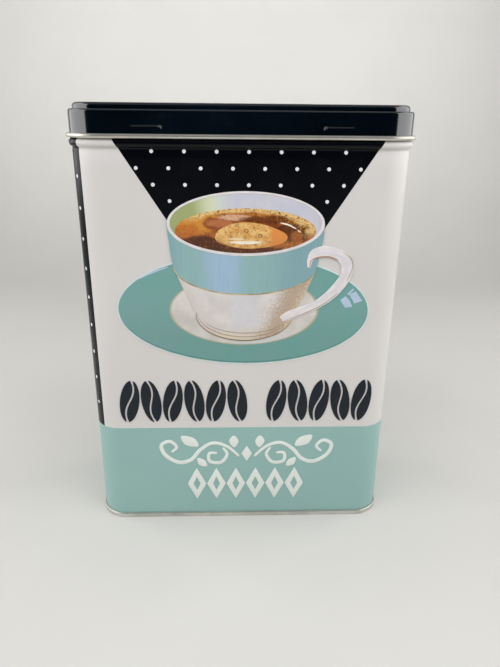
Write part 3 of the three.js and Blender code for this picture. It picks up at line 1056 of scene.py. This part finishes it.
def artwork(face, finishes):
    """Everything printed and embossed on one broad side."""
    wedge(face, finishes["black"], finishes["dot"])
    saucer, cup = SAUCER_PROUD, CUP_PROUD
    # Name, loops, base, top, edge and finish
    plan = [
        ("saucer", [ellipse(1.1, 146.6, 73.7, 33.8, steps=160, tilt=-0.9)], ROOT, saucer, 0.15, "saucer"),
        ("saucer_edge", [ellipse(1.1, 146.6, 73.9, 34.0, steps=160, tilt=-0.9),
                         ellipse(1.1, 146.6, 73.3, 33.4, steps=160, tilt=-0.9)],
         0.0, saucer + 0.05, 0.03, "outline"),
        ("saucer_shade", [stroke(ellipse(1.1, 146.6, 72.7, 32.7, 195, 345, 80, tilt=-0.9), 0.7, 1.0)],
         0.0, saucer + INK, 0.01, "deep_teal"),
        ("saucer_gleam",
         [stroke(smooth([(-60.0, 165.9), (-54.0, 168.8), (-48.4, 171.1), (-42.4, 173.2)], 6), 1.0, 0.9)],
         0.0, saucer + INK, 0.01, "gleam"),
        ("saucer_gleam_right", [[(57.5, 153.4), (60.6, 155.7), (63.5, 152.6), (65.0, 149.2), (60.6, 148.6)],
                                [(62.7, 156.8), (66.4, 158.7), (70.6, 152.9), (66.1, 151.2)],
                                [(61.3, 157.0), (64.7, 160.5), (65.3, 159.8), (62.3, 156.3)]],
         0.0, saucer + INK, 0.01, "gleam"),
        ("saucer_well", [ellipse(1.2, 147.1, 44.0, 22.0, steps=120)], 0.0, saucer + INK, 0.01, "well"),
        ("cup", [cup_outline()], ROOT, cup, 0.2, "bowl"),
        ("cup_band", [band_outline()], saucer, cup + INK, 0.01, "band"),
        ("cup_inside", [ellipse(CUP_X, 197.8, 42.6, 16.9)], saucer, cup + 2 * INK, 0.01, "inside"),
        ("coffee", [ellipse(1.8, 193.7, 39.4, 12.7)], saucer, cup + 3 * INK, 0.01, "coffee"),
        ("crema", [smooth([(-15.4, 190.6), (-11.8, 195.4), (-1.2, 198.6), (11.5, 197.6), (23.9, 192.6),
                           (23.9, 188.0), (14.0, 184.9), (0.0, 184.0), (-12.4, 186.8)], 8, closed=True)],
         saucer, cup + 4 * INK, 0.012, "crema"),
        ("cup_rim", [ellipse(CUP_X, CUP_RIM_Z, RIM_RX, RIM_RZ, steps=140),
                     ellipse(CUP_X, 197.85, 42.3, 16.6, steps=140)], saucer, cup + 0.22, 0.08, "china"),
        ("cup_handle", [strap(HANDLE)], ROOT, cup + HANDLE_PROUD, 0.22, "china"),
        ("beans", beans(), ROOT, 0.45, 0.2, "navy"),
        ("flourish", flourish(), ROOT, 0.3, 0.15, "cream"),
        ("lozenges", lozenges(), ROOT, 0.4, 0.2, "cream"),
    ]
    for name, points, width, taper, finish, above in LINES:
        plan.append((name, [stroke(points, width, taper)], saucer, cup + above, 0.01, finish))
    rings = []
    for x, z, radius in BUBBLES:
        rings.append(ellipse(x, z, radius, radius * 0.85, steps=20))
        rings.append(ellipse(x, z, radius * 0.6, radius * 0.5, steps=20))
    plan.append(("crema_bubbles", rings, saucer, cup + 5 * INK, 0.01, "sienna_dark"))
    for name, loops, base, top, edge, finish in plan:
        relief(f"{name}_{face}", loops, base, top, edge, face, finishes[finish])


def printing():
    white = ink("white_ink", (210, 206, 203), (204, 200, 197))
    black = ink("black_ink", (2, 4, 9), (6, 9, 15), 0.26, 0.2)
    teal = ink("teal_ink", (145, 180, 174), (137, 172, 168))
    dot = ink("dot_ink", (226, 226, 228), (214, 214, 218))
    half = PERIMETER / 2
    field("white_front", WHITE_FROM, WHITE_TO, TEAL_TOP, PRINT_TOP, white)
    field("black_right", WHITE_TO, half + WHITE_FROM, TEAL_TOP, PRINT_TOP, black)
    field("white_back", half + WHITE_FROM, half + WHITE_TO, TEAL_TOP, PRINT_TOP, white)
    field("black_left", half + WHITE_TO, PERIMETER + WHITE_FROM, TEAL_TOP, PRINT_TOP, black)
    line = [(offset + INK, z) for offset, z in wall_line(PRINT_FOOT, TEAL_TOP)]
    sheet("teal_band", stations(), line, INK * 0.8, "tin", teal)
    for side, start in (("right", WHITE_TO), ("left", half + WHITE_TO)):
        width = half + WHITE_FROM - WHITE_TO
        columns = 7
        pitch = width / columns
        centres = []
        for row in range(-1, 20):
            z = 222.3 - row * PITCH / 2
            for k in range(columns):
                if (k + row) % 2 == 0 and z > TEAL_TOP + 3:
                    centres.append((start + pitch * (k + 0.5), z))
        dots(f"dots_{side}", centres, dot)
    finishes = {
        "black": black, "dot": dot, "saucer": saucer_finish(), "well": well_finish(),
        "bowl": bowl_finish(), "band": band_finish(), "inside": inside_finish(),
        "coffee": coffee_finish(), "crema": crema_finish(),
        "navy": ink("navy_ink", (14, 24, 33), (22, 32, 42), 0.28, 0.3),
        "cream": ink("cream_ink", (224, 228, 222), (212, 218, 212)),
    }
    colours = {
        "china": ((226, 220, 218), (212, 207, 208)), "outline": ((214, 226, 224), (198, 214, 212)),
        "deep_teal": ((92, 140, 132), (84, 128, 124)), "gleam": ((184, 198, 222), (170, 190, 208)),
        "lilac": ((208, 208, 218), (216, 206, 208)), "sienna": ((190, 120, 96), (168, 128, 104)),
        "sienna_dark": ((150, 92, 40), (120, 74, 34)), "tan": ((170, 150, 128), (150, 134, 116)),
        "gold": ((196, 182, 128), (150, 122, 78)), "umber": ((122, 108, 82), (142, 126, 98)),
        "glint": ((250, 240, 226), (240, 224, 204)),
    }
    for name, (first, second) in colours.items():
        finishes[name] = paint(f"paint_{name}", first, second)
    artwork("front", finishes)
    artwork("back", finishes)


# ---------------------------------------------------------------- the scene

camera()
stage()
lights()
bpy.context.scene.view_settings.view_transform = "Standard"

inside_tin = bare_tin("tinplate_inside", (204, 198, 182), 0.24, 0.7)
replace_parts(body_shell(inside_tin), "body_shell")
side_seam(inside_tin)
for side, x in (("left", -HINGE_X), ("right", HINGE_X)):
    hinge_tongue(side, x, inside_tin)
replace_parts(lid_shell(), "lid")
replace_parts(bottom_panel(), "bottom_panel")
wire = bare_tin("wire_steel", (170, 170, 166))
for side in ("left", "right"):
    pin = frame["nodes"][f"hinge_pin_{side}"].data
    pin.materials.clear()
    pin.materials.append(wire.material)
printing()
